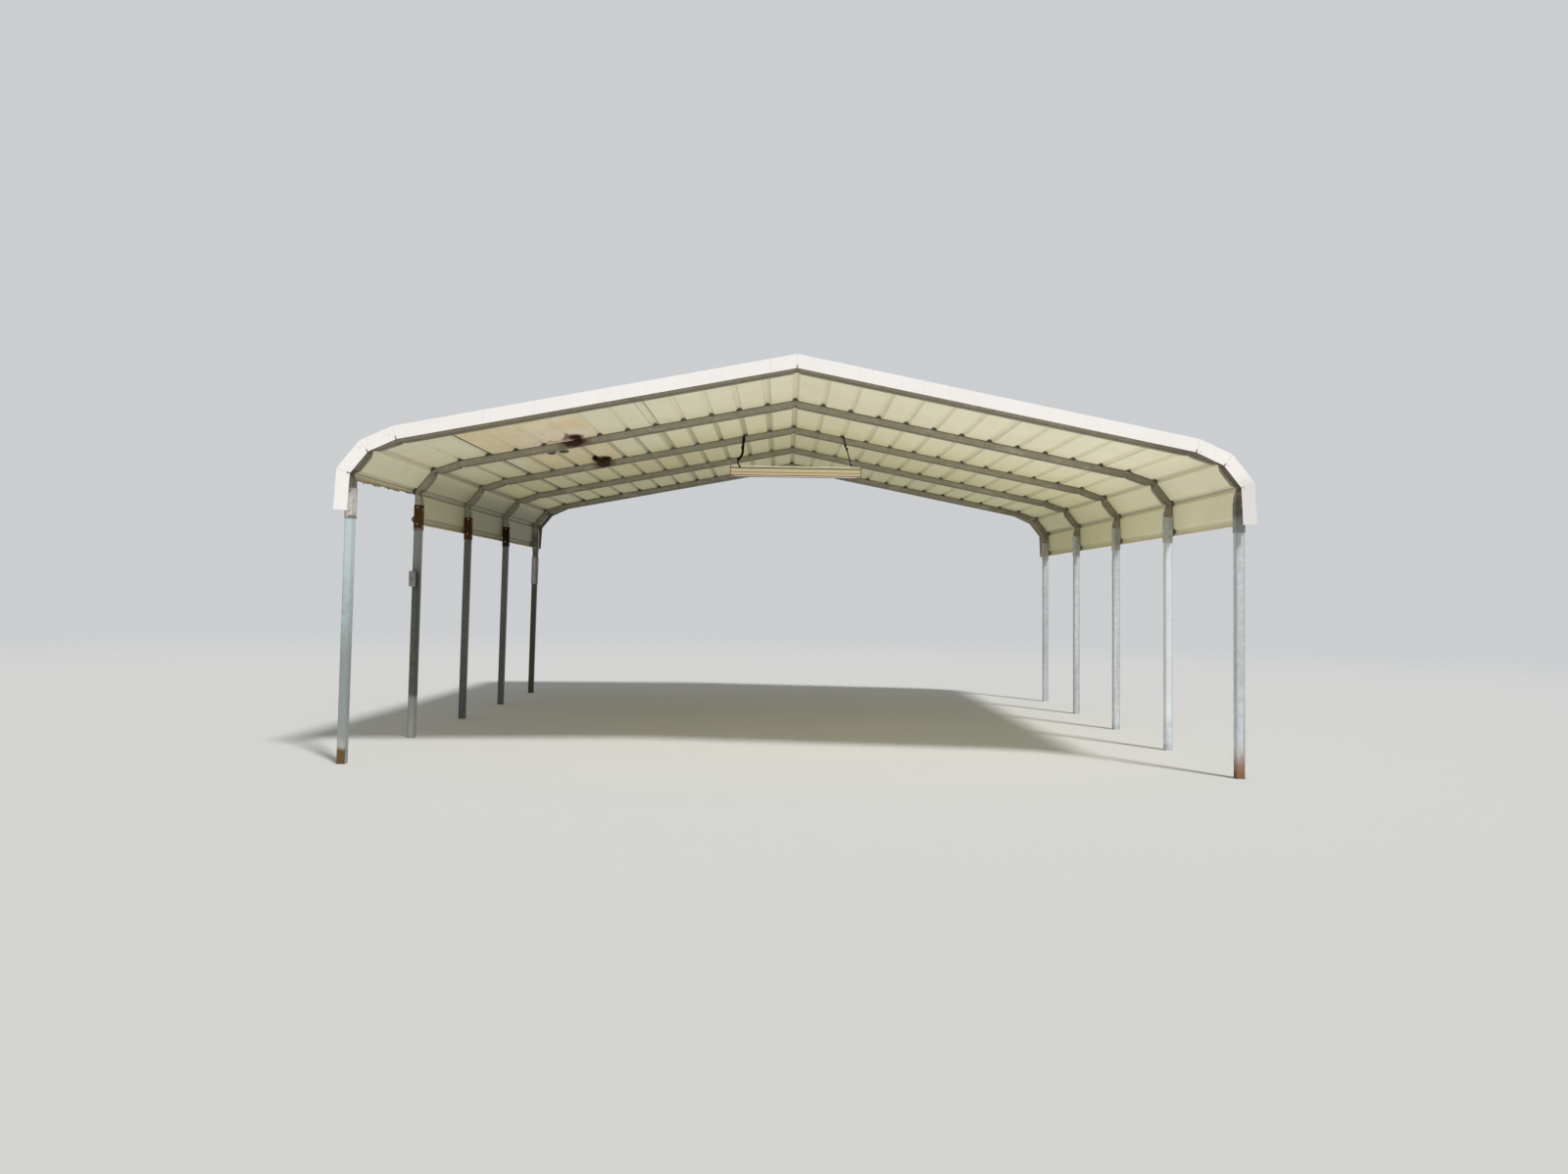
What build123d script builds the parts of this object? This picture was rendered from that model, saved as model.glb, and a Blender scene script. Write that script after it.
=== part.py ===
from build123d import *
import math
import os

# Carport: five bows of square tube on ten posts, under ribbed steel sheets.
# Front looks along -Y, the ridge runs along Y, the posts stand on z = 0.
# The origin is on the ground, under the middle of the roof.

# Square tube of the posts and bows
tube = 57.15
tube_wall = 2.0
bow_count = 5
bow_spacing = 1524.0
leg_splay = 0.85         # degrees, how far each leg leans outward
bow_leg = 215.0          # leg of a bow below its eave bend, down to the post
# Inner wall pressed in at the ridge and at the three bends: how deep, how far
# towards the ridge, how far towards the post
bend_dents = [(10.0, 30.0, 30.0), (6.0, 30.0, 30.0), (23.0, 35.0, 42.0), (24.0, 30.0, 60.0)]

# Sleeves over the butt joints
sleeve_wall = 2.9
sleeve_length = 206.0
sleeve_fit = 0.3         # clearance on each side of the tube

# Roof line, seen from the front
ridge_height = 2770.0    # top of the ridge tube
slope_angle = 11.1       # degrees below level, one for each facet outward
shoulder_angle = 19.0
eave_angle = 51.2
skirt_lean = 3.5         # degrees that the skirt leans outward

# Ribbed roof sheets
rib_pitch = 228.6
slope_rib_count = 12     # ribs from the ridge to the first eave bend
sheet_rib_count = 5      # ribs on one sheet, with the two at its edges
rib_height = 19.0
rib_foot_half = 28.0
rib_top_half = 9.0
lap_leg = 8.0            # flat beside a rib where a sheet ends
sheet_thickness = 0.8
overhang = 152.4         # sheet past the first and last bow

# Skirt that is torn away on the left, from the front end to the second bow
tear_bay_count = 1
tear_drops = [46.0, 40.0, 43.0, 35.0, 38.0, 29.0, 33.0, 25.0, 20.0, 23.0]   # below the eave bend

# White angle trim on both gable ends
trim_thickness = 0.8
trim_depth = 92.0
trim_flange = 40.0
trim_drop = 6.0          # trim below the edge of the skirt
trim_fit = 0.3           # over the lapped ribs
trim_ridge_rise = 19.0   # the face stands above the flange, at the ridge and at the first bend
trim_bend_rise = 23.0
peak_half = 508.0
peak_lap = 60.0

# Shop light under the middle bow
light_length = 1222.0
light_x = 24.0
light_drop = 462.0       # lower edge of the light below the ridge
light_height = 95.0
light_sheet = 1.2
reflector_half = 72.0
reflector_lip = 22.0
channel_half = 50.0
channel_height = 26.0
holder_length = 14.0
holder_half = 14.0
lamp_radius = 13.0
lamp_spread = 36.0
lamp_lift = 15.0         # lamp centre above the lower edge of the light
hanger_band = 2.0
hanger_width = 16.0
hanger_radius = 5.0
hanger_fit = 0.3
hanger_drop = 30.0       # straight stretch at each end of the cord
hanger_inset = 111.0     # foot of the cord from the end of the light
hanger_swing = 35.0      # elbow of the cord outward from its foot
hanger_elbow_rise = 60.0
hanger_bend = 12.0

# Outlet box on the second post on the left
box_post_count = 2       # posts up to the one with the box
box_width = 48.0
box_height = 120.0
box_depth = 45.0
box_gap = 328.0          # from the sleeve down to the lid
box_shift = 14.0         # outward from the middle of the post
box_round = 5.0
box_lid = 4.0
box_lid_edge = 3.0

# Values that follow from those above
skirt_ribs = slope_rib_count + 3
roof_length = bow_spacing * (bow_count - 1) + 2 * overhang
roof_front = -roof_length / 2
front_bow = roof_front + overhang
light_bottom = ridge_height - light_drop
hanger_foot_x = light_length / 2 - hanger_inset
hanger_rib = round(hanger_foot_x / rib_pitch)   # its hollow lets the band through


# Plane geometry of the roof line, in (x, z)
def along(angle):
    """Direction of a facet that falls by this angle towards +x."""
    turn = math.radians(angle)
    return (math.cos(turn), -math.sin(turn))


def outward(angle):
    """Direction at right angles to the facet, away from the carport."""
    turn = math.radians(angle)
    return (math.sin(turn), math.cos(turn))


def moved(point, direction, distance):
    return (point[0] + direction[0] * distance, point[1] + direction[1] * distance)


facet_angles = [slope_angle, shoulder_angle, eave_angle, 90 - skirt_lean]
facet_starts = [0, slope_rib_count, slope_rib_count + 1, slope_rib_count + 2]
leg_angle = 90 - leg_splay

bends = [(0.0, ridge_height)]
for facet in range(3):
    run = (facet_starts[facet + 1] - facet_starts[facet]) * rib_pitch
    bends.append(moved(bends[-1], along(facet_angles[facet]), run))
eave_bend = bends[3]


def mirrored(points):
    """The same outline on the left side, in reversed order."""
    return [(-x, z) for x, z in reversed(points)]


def shifted(line, distance):
    """The open line moved sideways, outward where distance is above zero."""
    normals = []
    for start, end in zip(line, line[1:]):
        length = math.dist(start, end)
        normals.append(((start[1] - end[1]) / length, (end[0] - start[0]) / length))
    result = [moved(line[0], normals[0], distance)]
    for corner, before, after in zip(line[1:], normals, normals[1:]):
        share = 1 + before[0] * after[0] + before[1] * after[1]
        mitre = ((before[0] + after[0]) / share, (before[1] + after[1]) / share)
        result.append(moved(corner, mitre, distance))
    result.append(moved(line[-1], normals[-1], distance))
    return result


def prism(outline, front, back):
    """Solid with this outline in x and z, from front to back along y."""
    face = make_face(Plane.XZ.offset(-back) * Polyline(*outline, close=True))
    return extrude(face, amount=back - front, dir=(0, -1, 0))


def across(outline, left, right):
    """Solid with this outline in y and z, from left to right along x."""
    face = make_face(Plane.YZ.offset(left) * Polyline(*outline, close=True))
    return extrude(face, amount=right - left, dir=(1, 0, 0))


def band(outer, inner, front, back):
    """Solid between two lines that run side by side."""
    return prism(outer + inner[::-1], front, back)


# Bows
def bow_y(index):
    return front_bow + index * bow_spacing


def leg_point(depth):
    """Point on the outer face of the right leg, this far below the eave bend."""
    return moved(eave_bend, along(leg_angle), depth)


def leg_depth(height):
    return (eave_bend[1] - height) / math.cos(math.radians(leg_splay))


def towards(start, end):
    length = math.dist(start, end)
    return ((end[0] - start[0]) / length, (end[1] - start[1]) / length)


def dented(line):
    """Inner line of the bow, pressed outward at the ridge and at every bend."""
    middle = len(line) // 2
    right = []
    for before, corner, after, dent in zip(line[middle - 1:], line[middle:], line[middle + 1:], bend_dents):
        depth, reach_back, reach_ahead = dent
        back = towards(corner, before)
        ahead = towards(corner, after)
        out = towards((0, 0), (-back[0] - ahead[0], -back[1] - ahead[1]))
        right.append(moved(corner, back, reach_back))
        right.append(moved(corner, out, depth))
        right.append(moved(corner, ahead, reach_ahead))
    right.append(line[-1])
    return mirrored(right[2:]) + right[1:]


def make_bow(index):
    half = bends + [leg_point(bow_leg)]
    outer = mirrored(half[1:]) + half
    inner = dented(shifted(outer, -tube))
    middle = bow_y(index)
    shell = band(outer, inner, middle - tube / 2, middle + tube / 2)
    bore_outer = shifted(outer, -tube_wall)
    bore_inner = shifted(inner, tube_wall)
    bore_half = tube / 2 - tube_wall
    return shell - band(bore_outer, bore_inner, middle - bore_half, middle + bore_half)


# Posts and sleeves
def leg_stretch(depth_from, depth_to, inset, y_inset, middle):
    """Solid along the right leg, inset from the faces of the tube."""
    line = [leg_point(depth_from), leg_point(depth_to)]
    front = middle - tube / 2 + y_inset
    back = middle + tube / 2 - y_inset
    return band(shifted(line, -inset), shifted(line, inset - tube), front, back)


def on_side(solid, side):
    """The solid as it is for the right side, or mirrored for the left."""
    return solid if side == "right" else mirror(solid, about=Plane.YZ)


def make_post(index, side):
    middle = bow_y(index)
    foot_depth = leg_depth(0) + tube
    outside = leg_stretch(bow_leg, foot_depth, 0, 0, middle)
    bore = leg_stretch(bow_leg - tube, foot_depth + tube, tube_wall, tube_wall, middle)
    below = Box(2 * abs(leg_point(foot_depth)[0]) + 4 * tube, 2 * roof_length, 4 * tube,
                align=(Align.CENTER, Align.CENTER, Align.MAX))
    return on_side(outside - bore - below, side)


def make_sleeve(index, side):
    middle = bow_y(index)
    top = bow_leg - sleeve_length / 2
    bottom = bow_leg + sleeve_length / 2
    grow = sleeve_fit + sleeve_wall
    outside = leg_stretch(top, bottom, -grow, -grow, middle)
    bore = leg_stretch(top - tube, bottom + tube, -sleeve_fit, -sleeve_fit, middle)
    return on_side(outside - bore, side)


# Roof sheets
def roof_point(distance, rise):
    """Point on the right half, by distance from the ridge and rise off the tube."""
    facet = max(i for i in range(4) if distance >= facet_starts[i] * rib_pitch or i == 0)
    start = bends[facet]
    angle = facet_angles[facet]
    run = distance - facet_starts[facet] * rib_pitch
    return moved(moved(start, along(angle), run), outward(angle), rise)


rib_shape = [
    (-rib_foot_half - lap_leg, 0),
    (-rib_foot_half, 0),
    (-rib_top_half, rib_height),
    (rib_top_half, rib_height),
    (rib_foot_half, 0),
    (rib_foot_half + lap_leg, 0),
]


def sheet_line():
    """Underside of the whole roof from left edge to right edge, rib by rib."""
    right = []
    for rib in range(1, skirt_ribs + 1):
        right += [roof_point(rib * rib_pitch + run, rise) for run, rise in rib_shape]
    ridge = [roof_point(run, rise) for run, rise in rib_shape if run > 0]
    return mirrored(ridge + right) + ridge + right


under_line = sheet_line()
levels = [shifted(under_line, level * sheet_thickness) for level in range(3)]


# The sheets are laid from the right edge; the one on the left edge laps three ribs
sheet_names = ["left_skirt", "left_eave", "left_slope", "left_upper",
               "ridge", "right_upper", "right_slope", "right_skirt"]
ridge_sheet = sheet_names.index("ridge")


def sheet_ribs(place):
    step = sheet_rib_count - 1
    first = max(skirt_ribs - (len(sheet_names) - place) * step, -skirt_ribs)
    return range(first, first + step + 1)


def make_sheet(place):
    """Sheet that lies one thickness up on the ribs of the next sheet down the roof."""
    below = []
    if 0 < place <= ridge_sheet:
        below += sheet_ribs(place - 1)
    if ridge_sheet <= place < len(sheet_names) - 1:
        below += sheet_ribs(place + 1)
    lower = []
    upper = []
    for rib in sheet_ribs(place):
        level = 1 if rib in below else 0
        start = (rib + skirt_ribs) * len(rib_shape)
        stop = start + len(rib_shape)
        lower += levels[level][start:stop]
        upper += levels[level + 1][start:stop]
    return band(upper, lower, roof_front, -roof_front)


def tear_space():
    """Where the skirt is gone, with a ragged upper edge."""
    stop = bow_y(tear_bay_count)
    step = (stop - roof_front) / (len(tear_drops) - 1)
    edge = [(roof_front + place * step, eave_bend[1] - drop) for place, drop in enumerate(tear_drops)]
    outline = [(stop, 0), (2 * roof_front, 0), (2 * roof_front, edge[0][1])] + edge
    reach = eave_bend[0] - tube
    return across(outline, -2 * reach, -reach)


# Gable trim
trim_rest = rib_height + 2 * sheet_thickness + trim_fit
skirt_length = rib_pitch + rib_foot_half + lap_leg + trim_drop
trim_end = moved(eave_bend, along(facet_angles[3]), skirt_length)
flange_half = bends + [trim_end]
face_ridge = moved(bends[0], (0, 1), trim_ridge_rise)
face_half = [face_ridge, moved(bends[1], outward(slope_angle), trim_bend_rise)] + flange_half[2:]


def make_trim(face_line, flange_line, layer):
    """Angle along this part of the roof, on the front gable."""
    low = trim_rest + layer * trim_thickness
    high = low + trim_thickness
    face_back = roof_front - layer * trim_thickness
    face_front = face_back - trim_thickness
    lower_edge = trim_rest + trim_thickness - trim_depth
    face = band(shifted(face_line, high), shifted(face_line, lower_edge), face_front, face_back)
    flange = band(shifted(flange_line, high), shifted(flange_line, low), face_back, roof_front + trim_flange)
    return face + flange


def side_trim_line(half):
    return [moved(half[0], towards(half[0], half[1]), peak_half - peak_lap)] + half[1:]


def peak_trim_line(half):
    end = moved(half[0], towards(half[0], half[1]), peak_half)
    return [(-end[0], end[1]), half[0], end]


def lap_notch():
    """Where the side trim is cut down under the flange of the peak trim."""
    line = peak_trim_line(flange_half)
    low = trim_rest + trim_thickness
    return band(shifted(line, low + trim_depth), shifted(line, low), roof_front - trim_thickness, roof_front)


# Shop light
light_y = bow_y(bow_count // 2)


def light_outline():
    """Outer line of the light's section, from one lower lip over the top to the other."""
    top = light_bottom + light_height
    right = [
        (channel_half, top),
        (channel_half, top - channel_height),
        (reflector_half, light_bottom + reflector_lip),
        (reflector_half, light_bottom),
    ]
    return mirrored(right) + right


def make_light():
    outer = [(light_y + y, z) for y, z in light_outline()]
    inner = shifted(outer, -light_sheet)
    left = light_x - light_length / 2
    right = light_x + light_length / 2
    body = across(outer + inner[::-1], left, right)
    ballast_top = light_bottom + light_height - light_sheet
    ballast_low = light_bottom + lamp_lift + lamp_radius + light_sheet
    ballast = [
        (light_y - lamp_spread / 2, ballast_low),
        (light_y + lamp_spread / 2, ballast_low),
        (light_y + channel_half - light_sheet, ballast_top),
        (light_y - channel_half + light_sheet, ballast_top),
    ]
    body += across(ballast, left, right)
    for start in (left, right - light_sheet):
        body += across(outer, start, start + light_sheet)
    for start in (left, right - holder_length):
        for middle in (light_y - lamp_spread, light_y + lamp_spread):
            holder = [
                (middle - holder_half, light_bottom),
                (middle + holder_half, light_bottom),
                (middle + holder_half, ballast_low + light_sheet),
                (middle - holder_half, ballast_low + light_sheet),
            ]
            body += across(holder, start, start + holder_length)
    return body


def make_lamp(side):
    start = light_x - light_length / 2 + holder_length
    middle = (start, light_y + side * lamp_spread, light_bottom + lamp_lift)
    return Plane(origin=middle, z_dir=(1, 0, 0)) * Cylinder(
        lamp_radius, light_length - 2 * holder_length, align=(Align.CENTER, Align.CENTER, Align.MIN))


# Hangers: a band round the bow and a cord down to the light
def make_hanger(side):
    distance = hanger_rib * rib_pitch
    centre = roof_point(distance, -tube / 2)
    fall = along(slope_angle)
    middle = Plane(origin=(centre[0], light_y, centre[1]), x_dir=(0, 1, 0), z_dir=(fall[0], 0, fall[1]))
    inner = tube + 2 * hanger_fit
    outer = inner + 2 * hanger_band
    loop = Box(outer, outer, hanger_width) - Box(inner, inner, hanger_width)
    knot = roof_point(distance, -tube - hanger_fit - hanger_band / 2)
    light_top = light_bottom + light_height
    foot_x = side * light_x + hanger_foot_x
    route = [
        knot,
        moved(knot, outward(slope_angle), -hanger_drop),
        (foot_x + hanger_swing, light_top + hanger_elbow_rise),
        (foot_x, light_top + hanger_drop),
        (foot_x, light_top + hanger_fit),
    ]
    path = FilletPolyline(*[(x, light_y, z) for x, z in route], radius=hanger_bend)
    start = Plane(origin=path @ 0, z_dir=path % 0)
    hanger = middle * loop + sweep(start * Circle(hanger_radius), path=path)
    return hanger if side > 0 else mirror(hanger, about=Plane.YZ)


# Outlet box
def make_outlet_box():
    sleeve_end = leg_point(bow_leg + sleeve_length / 2)[1]
    box_middle = sleeve_end - box_gap - box_lid_edge - box_height / 2
    axis = moved(leg_point(leg_depth(box_middle)), outward(leg_angle), -tube / 2)
    face = bow_y(box_post_count - 1) - tube / 2
    body = Box(box_width, box_depth, box_height, align=(Align.CENTER, Align.MAX, Align.CENTER))
    body = fillet(body.edges().filter_by(Axis.Y), box_round)
    lid = Box(box_width + 2 * box_lid_edge, box_lid, box_height + 2 * box_lid_edge,
              align=(Align.CENTER, Align.MAX, Align.CENTER))
    lid = fillet(lid.edges().filter_by(Axis.Y), box_round)
    box = body + Pos(0, -box_depth, 0) * lid
    return Pos(-axis[0] - box_shift, face, box_middle) * box


# All parts, by name
nodes = {}
for index in range(bow_count):
    nodes[f"bow_{index + 1}"] = make_bow(index)
    for side in ("left", "right"):
        nodes[f"post_{side}_{index + 1}"] = make_post(index, side)
        nodes[f"sleeve_{side}_{index + 1}"] = make_sleeve(index, side)

for place, name in enumerate(sheet_names):
    nodes[f"roof_sheet_{name}"] = make_sheet(place)
nodes["roof_sheet_left_skirt"] -= tear_space()

side_lines = [side_trim_line(half) for half in (face_half, flange_half)]
front_trim = {
    "right": make_trim(*side_lines, 0) - lap_notch(),
    "left": make_trim(*[mirrored(line) for line in side_lines], 0) - lap_notch(),
    "peak": make_trim(*[peak_trim_line(half) for half in (face_half, flange_half)], 1),
}
for place, trim in front_trim.items():
    nodes[f"trim_front_{place}"] = trim
    nodes[f"trim_rear_{place}"] = mirror(trim, about=Plane.XZ)

nodes["light_housing"] = make_light()
nodes["lamp_front"] = make_lamp(-1)
nodes["lamp_rear"] = make_lamp(1)
nodes["hanger_left"] = make_hanger(-1)
nodes["hanger_right"] = make_hanger(1)
nodes["outlet_box"] = make_outlet_box()

os.makedirs("parts", exist_ok=True)
for name, shape in nodes.items():
    export_step(shape, f"parts/{name}.step")
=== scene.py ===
import bpy
import bmesh
import random
from math import copysign, cos, inf, pi, radians, sin, sqrt, tan
from mathutils import Matrix, Vector, noise


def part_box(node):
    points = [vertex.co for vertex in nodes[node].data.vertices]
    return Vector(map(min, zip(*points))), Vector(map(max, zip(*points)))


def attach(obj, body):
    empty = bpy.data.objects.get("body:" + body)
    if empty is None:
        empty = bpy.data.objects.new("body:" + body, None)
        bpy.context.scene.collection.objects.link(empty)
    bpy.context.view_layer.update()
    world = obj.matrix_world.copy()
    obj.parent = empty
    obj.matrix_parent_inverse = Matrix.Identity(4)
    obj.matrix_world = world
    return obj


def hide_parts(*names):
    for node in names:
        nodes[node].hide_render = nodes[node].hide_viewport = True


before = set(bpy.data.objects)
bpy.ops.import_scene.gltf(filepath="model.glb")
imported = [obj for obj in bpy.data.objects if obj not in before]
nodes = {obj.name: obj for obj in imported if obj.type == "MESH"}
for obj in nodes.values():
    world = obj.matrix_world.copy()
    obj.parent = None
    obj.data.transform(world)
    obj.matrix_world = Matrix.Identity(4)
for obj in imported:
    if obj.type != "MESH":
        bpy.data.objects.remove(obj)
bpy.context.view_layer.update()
scene = bpy.context.scene
print("frame loaded,", len(nodes), "nodes")


def tune(thing, **settings):
    for key, value in settings.items():
        setattr(thing, key, value)
    return thing


def putObject(name, data, **settings):
    made = tune(bpy.data.objects.new(name, data), **settings)
    scene.collection.objects.link(made)
    return made


# Camera; its angles are in degrees
shot = {
    "place": (-0.0594, -11.2467, 1.1792),
    "lens": {"lens": 27.64, "sensor_width": 36, "clip_start": 0.1, "clip_end": 200},
    "lookUp": 0.5,
    "roll": 0.95,
    "turn": 0.04,
}
scene.camera = putObject("shot", tune(bpy.data.cameras.new("shot"), **shot["lens"]), matrix_world=(
    Matrix.Translation(shot["place"])
    @ Matrix.Rotation(radians(shot["turn"]), 4, "Z")
    @ Matrix.Rotation(radians(90 + shot["lookUp"]), 4, "X")
    @ Matrix.Rotation(radians(shot["roll"]), 4, "Z")))
scene.view_settings.view_transform = "Standard"


# Shader maths: sums on a wire add Math nodes
class Wire:
    def __init__(self, finish, socket):
        self.finish = finish
        self.socket = socket

    def sum(self, operation, *values):
        return self.finish.add("Math", {"operation": operation}, dict(enumerate(values)))

    def __add__(self, other):
        return self.sum("ADD", self, other)

    def __sub__(self, other):
        return self.sum("SUBTRACT", self, other)

    def __rsub__(self, other):
        return self.sum("SUBTRACT", other, self)

    def __mul__(self, other):
        return self.sum("MULTIPLY", self, other)

    __radd__ = __add__
    __rmul__ = __mul__

    def size(self):
        return self.sum("ABSOLUTE", self)

    def most(self, other):
        return self.sum("MAXIMUM", self, other)

    def length(self, other):
        return self.sum("SQRT", self * self + other * other)

    def ramp(self, low, high):
        settings = {"interpolation_type": "SMOOTHSTEP"}
        return self.finish.add("MapRange", settings, {0: self, 1: low, 2: high})

    def between(self, low, high, soft):
        return self.ramp(low - soft, low + soft) * self.ramp(high + soft, high - soft)

    def coat(self, *layers):  # this colour, then each share of another over it
        colour = self
        for share, tone in zip(layers[::2], layers[1::2]):
            colour = self.finish.mix(share, colour, tone)
        return colour


class Finish:
    x = property(lambda self: self.part("place", "X"))
    y = property(lambda self: self.part("place", "Y"))
    z = property(lambda self: self.part("place", "Z"))

    def __init__(self, name, constants=None, world=None):
        self.data = world or bpy.data.materials.new(name)
        self.data.use_nodes = True
        self.tree = self.data.node_tree
        self.tree.nodes.clear()
        self.known = {}
        self.output = self.tree.nodes.new("ShaderNodeOutputWorld" if world else "ShaderNodeOutputMaterial")
        if not world:
            self.shader = self.add("BsdfPrincipled", {}, constants)
            self.show(self.shader)

    def feed(self, socket, value):
        if isinstance(value, Wire):
            self.tree.links.new(value.socket, socket)
        elif socket.type == "RGBA":
            socket.default_value = (*value[:3], 1)
        else:
            socket.default_value = value

    def show(self, wire):
        self.feed(self.output.inputs["Surface"], wire)

    def add(self, kind, settings=None, inputs=None, output=0):
        node = self.tree.nodes.new("ShaderNode" + kind)
        for key, value in (settings or {}).items():
            if key == "stops":
                stops = node.color_ramp.elements
                stops[0].position, stops[-1].position = value[0][0], value[-1][0]
                for place, colour in value[1:-1]:
                    stops.new(place)
                for stop, (place, colour) in zip(stops, value):
                    stop.color = (*colour, 1)
            else:
                setattr(node, key, value)
        for key, value in (inputs or {}).items():
            self.feed(node.inputs[key], value)
        return Wire(self, node.outputs[output])

    def once(self, name, *recipe):
        if name not in self.known:
            self.known[name] = self.add(*recipe)
        return self.known[name]

    def place(self):
        return self.once("place", "TexCoord", {}, {}, "Object")

    def part(self, name, letter):
        whole = self.place() if name == "place" else self.once(name, "NewGeometry", {}, {}, "True Normal")
        split = self.once(name + "Split", "SeparateXYZ", {}, {0: whole})
        return Wire(self, split.socket.node.outputs[letter])

    def facing(self, letter):
        return self.part("normal", letter)

    def grain(self, size, start=0, detail=3, rough=0.55, stretch=(1, 1, 1)):
        moved = self.add("Mapping", {}, {"Vector": self.place(), "Scale": stretch, "Location": (start, start, start)})
        return self.add("TexNoise", {}, {"Vector": moved, "Scale": 1 / size, "Detail": detail, "Roughness": rough})

    def vector(self, operation, *values, output=0):
        return self.add("VectorMath", {"operation": operation}, dict(enumerate(values)), output)

    def near(self, centre, reach):
        apart = self.vector("SUBTRACT", self.place(), centre)
        return self.vector("LENGTH", self.vector("MULTIPLY", apart, tuple(1 / r for r in reach)), output="Value")

    def mix(self, share, first, second):
        return self.add("Mix", {"data_type": "RGBA"}, {0: share, 6: first, 7: second}, 2)

    def bump(self, height, depth, strength=0.5):
        normal = self.add("Bump", {}, {"Height": height, "Distance": depth, "Strength": strength})
        self.feed(self.shader.socket.node.inputs["Normal"], normal)

    def close(self, colour, roughness, **others):
        for name, value in {"Base Color": colour, "Roughness": roughness, **others}.items():
            self.feed(self.shader.socket.node.inputs[name], value)
        return self.data


studio = {
    "sunPlace": (0.46, -0.71, 1),  # from the front right, high
    "sunPower": 2.95,
    "sunSpread": 8,  # degrees
    "skyPower": 0.38,
    "bouncePlace": (1.2, -1.6, 0.05),  # a wide lamp that lies on the floor and shines up
    "bounceSize": (4.6, 4.2),
    "bouncePower": 36,  # watts
    "backdrop": (0.6, 0.615, 0.63),
    "floor": (0.6, 0.6, 0.59),
    "floorReach": 90,
    "floorFade": (9, 26),  # where the floor turns into the backdrop
}


def lightStudio():
    sun = tune(bpy.data.lights.new("sun", "SUN"), energy=studio["sunPower"], angle=radians(studio["sunSpread"]))
    putObject("sun", sun, rotation_euler=Vector(studio["sunPlace"]).to_track_quat("Z", "Y").to_euler())
    width, depth = studio["bounceSize"]
    bounce = tune(bpy.data.lights.new("bounce", "AREA"), shape="RECTANGLE", size=width, size_y=depth,
                  energy=studio["bouncePower"])
    putObject("bounce", bounce, location=studio["bouncePlace"], rotation_euler=(pi, 0, 0),
              visible_camera=False, visible_glossy=False)
    scene.world = bpy.data.worlds.new("studio")
    sky = Finish("studio", world=scene.world)
    seen, glossy, through = (sky.add("LightPath", output=f"Is {kind} Ray")
                             for kind in ("Camera", "Glossy", "Transmission"))
    plain = sky.add("Background", {}, {"Color": (1, 1, 1), "Strength": studio["skyPower"]})
    shown = sky.add("Background", {}, {"Color": studio["backdrop"], "Strength": 1})
    sky.show(sky.add("MixShader", {}, {0: seen.most(glossy).most(through), 1: plain, 2: shown}))


def layFloor():
    reach = studio["floorReach"]
    mesh = bpy.data.meshes.new("floor")
    corners = [(-reach, -reach, 0), (reach, -reach, 0), (reach, reach, 0), (-reach, reach, 0)]
    mesh.from_pydata(corners, [], [(0, 1, 2, 3)])
    finish = Finish("floor", {"Base Color": studio["floor"], "Roughness": 0.9, "Specular IOR Level": 0.1})
    away = finish.vector("LENGTH", finish.place(), output="Value")
    far = away.ramp(*studio["floorFade"]) * finish.add("LightPath", output="Is Camera Ray")
    glow = finish.add("Emission", {}, {"Color": studio["backdrop"], "Strength": 1})
    finish.show(finish.add("MixShader", {}, {0: far, 1: finish.shader, 2: glow}))
    mesh.materials.append(finish.data)
    putObject("floor", mesh)


lightStudio()
layFloor()
print("studio ready")


# The roof line, as the frame has it: distance runs down the roof from the ridge
roof = {
    "ridge": 2.77,
    "ribPitch": 0.2286,
    "ribRise": 0.019,
    "sheet": 0.0008,
    "falls": [radians(angle) for angle in (11.1, 19, 51.2, 86.5)],
    "bends": (0, 12, 13, 14),  # in ribs from the ridge
    "lastRib": 15,
    "bows": [-3.048 + 1.524 * i for i in range(5)],
    "tube": 0.05715,
    "legLean": radians(0.85),
}
eave = roof["bends"][-1] * roof["ribPitch"]
legSlope = tan(roof["legLean"])


def roofPlace(distance, rise, y):
    side = -1 if distance < 0 else 1
    left = abs(distance)
    x, z = 0, roof["ridge"]
    for start, stop, fall in zip(roof["bends"], roof["bends"][1:] + (inf,), roof["falls"]):
        part = min(left, (stop - start) * roof["ribPitch"])
        x += part * cos(fall)
        z -= part * sin(fall)
        left -= part
        if left <= 0:
            break
    out = Vector((side * sin(fall), 0, cos(fall)))
    return Vector((side * x, y, z)) + out * rise, out


def riseField(finish):
    rise = None
    for bend, fall in zip(roof["bends"], roof["falls"]):
        start = roofPlace(bend * roof["ribPitch"], 0, 0)[0]
        sine, cosine = sin(fall), cos(fall)
        beyond = finish.x.size() * sine + finish.z * cosine - (start.x * sine + start.z * cosine)
        rise = beyond if rise is None else rise.most(beyond)
    return rise


def legOutside(height):
    bend = roofPlace(eave, 0, 0)[0]
    return bend.x + (bend.z - height) * legSlope


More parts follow.
